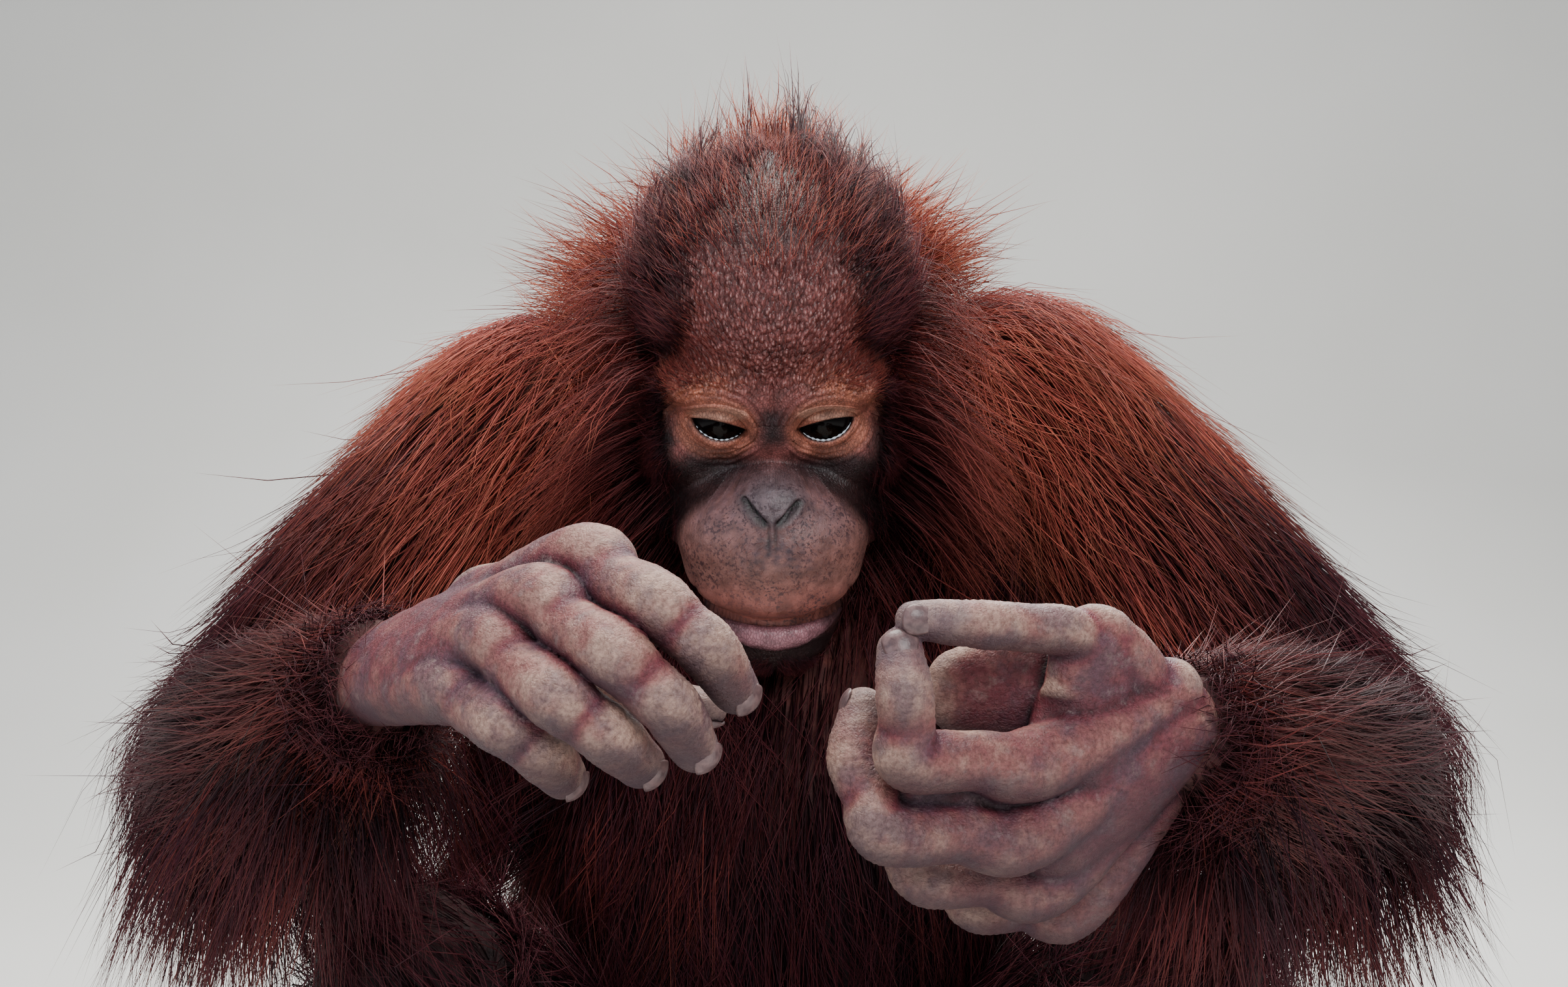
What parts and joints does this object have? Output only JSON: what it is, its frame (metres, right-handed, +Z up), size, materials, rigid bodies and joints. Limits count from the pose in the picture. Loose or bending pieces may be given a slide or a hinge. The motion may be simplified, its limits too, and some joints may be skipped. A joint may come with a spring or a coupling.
{
  "type": "orangutan",
  "caption": "Seated young orangutan with head bent over its two raised hands, shaggy coat, long arms, bare face and bare hands and feet.",
  "frame": {"origin": "on the floor under the seat bones, in the middle of the seat's flat", "axes": "+Z up, -Y the way the animal faces, +X to the animal's left"},
  "size_m": [0.5913, 0.4968, 0.5951],
  "materials": {
    "coat": "long shaggy hair, reddish brown, satin",
    "face_skin": "fine wrinkled skin, dark round the eyes, tan on the muzzle",
    "bare_skin": "wrinkled greyish pink skin, matt",
    "eye": "wet and glossy"
  },
  "bodies": {
    "root": {"torso": "coat", "neck": "coat", "head": "face_skin", "ear_left": "bare_skin", "ear_right": "bare_skin", "eye_left": "eye", "eye_right": "eye", "upper_arm_left": "coat", "upper_arm_right": "coat", "forearm_left": "coat", "forearm_right": "coat", "hand_left": "bare_skin", "hand_right": "bare_skin", "thigh_left": "coat", "thigh_right": "coat", "shank_left": "coat", "shank_right": "coat", "foot_left": "bare_skin", "foot_right": "bare_skin"}
  },
  "joints": []
}
